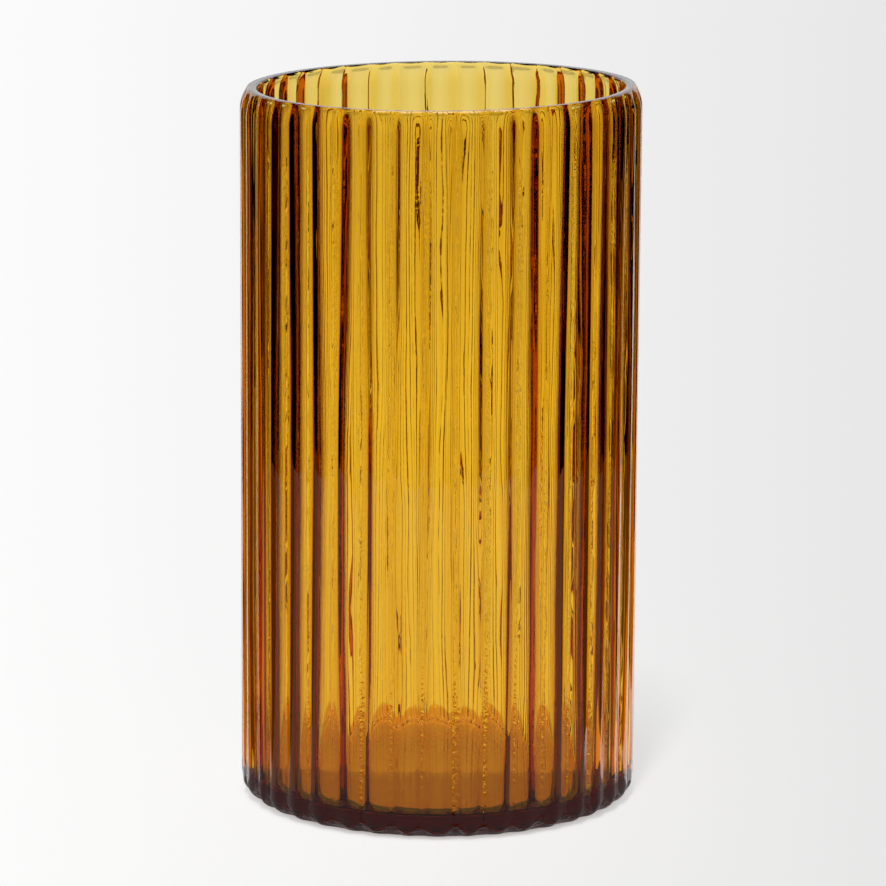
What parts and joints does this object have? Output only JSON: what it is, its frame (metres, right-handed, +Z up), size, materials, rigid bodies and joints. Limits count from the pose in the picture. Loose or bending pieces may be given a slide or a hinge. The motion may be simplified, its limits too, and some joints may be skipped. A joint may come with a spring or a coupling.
{
  "type": "ribbed glass vase",
  "caption": "Tall free-standing cylinder vase in thick amber glass, with round vertical ribs outside, matching flutes inside, a flat ground rim and a heavy base.",
  "frame": {"origin": "centre of the resting ring, on the surface that the vase stands on", "axes": "+Z up along the vase's axis, out of the mouth; -Y is the front, where one rib faces straight forward; +X is to the right as seen from the front"},
  "size_m": [0.15, 0.15, 0.27],
  "materials": {
    "amber_glass": "clear amber blown glass, glossy and fire-polished, with faint chill marks along the grooves; the rim's flat is ground and polished"
  },
  "bodies": {
    "root": {"rim": "amber_glass", "ribbed_wall": "amber_glass", "base": "amber_glass"}
  },
  "joints": []
}
